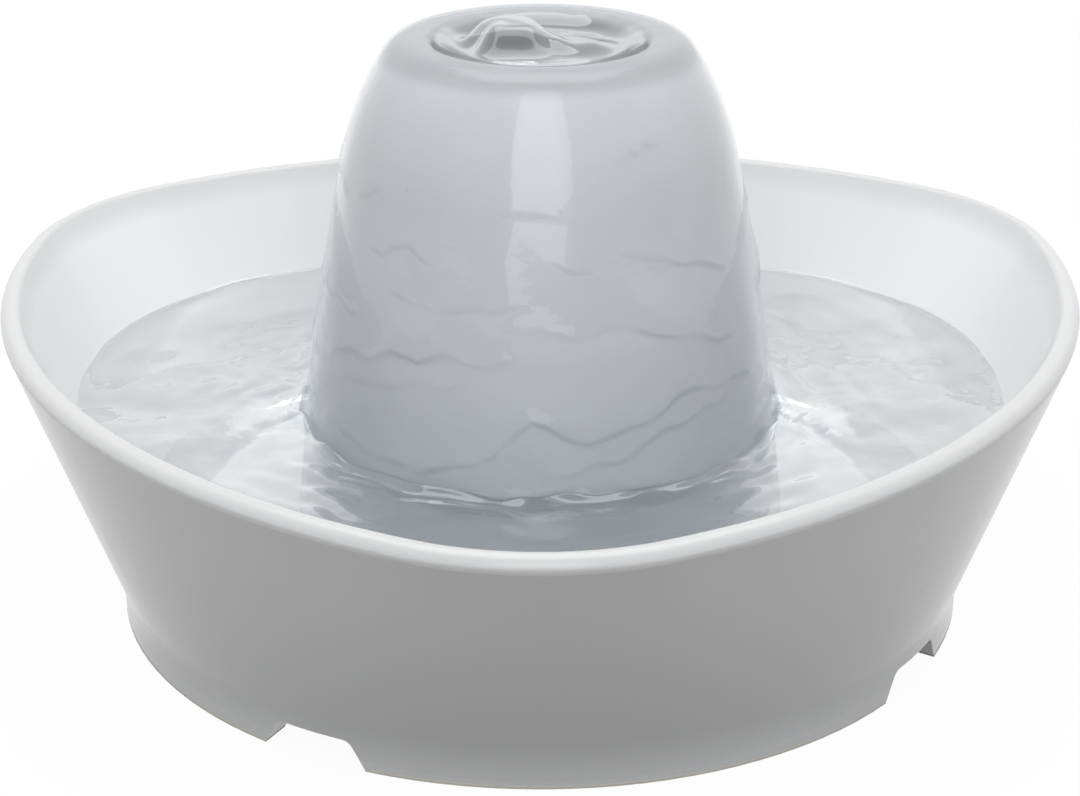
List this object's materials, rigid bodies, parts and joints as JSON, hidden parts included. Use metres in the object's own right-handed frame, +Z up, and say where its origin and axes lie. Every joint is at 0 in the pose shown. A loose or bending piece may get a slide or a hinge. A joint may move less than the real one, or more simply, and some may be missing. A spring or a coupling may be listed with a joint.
{
  "type": "pet water fountain",
  "caption": "Glazed ceramic drinking fountain: a rounded-triangle bowl on a notched round foot, a domed tower with a well on top, and a pump, foam and carbon filter inside.",
  "frame": {"origin": "middle of the base of the whole object, on the surface that it stands on; the tower's axis is 9.3 mm behind it", "axes": "+Z up along the tower; -Y towards the bowl's front corner, +Y towards its flat back side; +X to the right seen from the front"},
  "size_m": [0.2902, 0.2927, 0.1505],
  "materials": {
    "bowl_glaze": "glossy white glaze",
    "tower_glaze": "glossy white glaze, wet",
    "clear_silicone": "soft milky silicone",
    "clear_tube": "clear",
    "black_plastic": "fine moulded grain",
    "grey_plastic": "fine moulded grain",
    "white_plastic": "satin",
    "soft_rubber": "matt",
    "epoxy": "glossy, self-levelled",
    "core_steel": "laminated stack",
    "copper_wire": "enamelled winding",
    "ferrite": "ground ferrite",
    "shaft_ceramic": "polished",
    "lead_jacket": "smooth jacket",
    "contact_brass": "polished",
    "filter_foam": "open-cell foam",
    "carbon_felt": "granular carbon in felt"
  },
  "bodies": {
    "base": {"bowl": "bowl_glaze", "riser_tube": "clear_tube", "pump_body": "black_plastic", "volute_cover": "black_plastic", "intake_cover": "black_plastic", "suction_cups": "soft_rubber", "motor_potting": "epoxy", "stator_core": "core_steel", "coil_bobbin": "white_plastic", "stator_coil": "copper_wire", "rotor_shaft": "shaft_ceramic", "rear_bush": "soft_rubber", "front_bush": "soft_rubber", "pump_lead": "lead_jacket", "lead_gland": "soft_rubber", "floor_plug": "soft_rubber", "power_inlet": "black_plastic", "inlet_pin": "contact_brass", "inlet_contact": "contact_brass", "pump_basket": "grey_plastic", "foam_filter": "filter_foam"},
    "tower": {"tower": "tower_glaze", "tower_gasket": "clear_silicone"},
    "rotor": {"rotor_magnet": "ferrite", "impeller": "white_plastic"},
    "flow_dial": {"flow_dial": "grey_plastic"},
    "cartridge": {"cartridge_frame": "white_plastic", "carbon_pad": "carbon_felt", "cartridge_grille": "white_plastic"}
  },
  "joints": [
    {"name": "tower_lift", "type": "slide", "parent": "base", "child": "tower", "axis": [0, 0, 1], "range_m": [0, 0.16]},
    {"name": "rotor_spin", "type": "hinge", "parent": "base", "child": "rotor", "pos_m": [-0.008, 0.00929, 0.048], "axis": [0, 1, 0], "continuous": true},
    {"name": "flow_dial_turn", "type": "hinge", "parent": "base", "child": "flow_dial", "pos_m": [-0.008, -0.00971, 0.048], "axis": [0, 1, 0], "range_deg": [0, 180]},
    {"name": "cartridge_lift", "type": "slide", "parent": "base", "child": "cartridge", "axis": [0, 0, 1], "range_m": [0, 0.05]}
  ],
  "couplings": [
    {"joint": "cartridge_lift", "follows": "tower_lift", "ratio": 0.3}
  ]
}
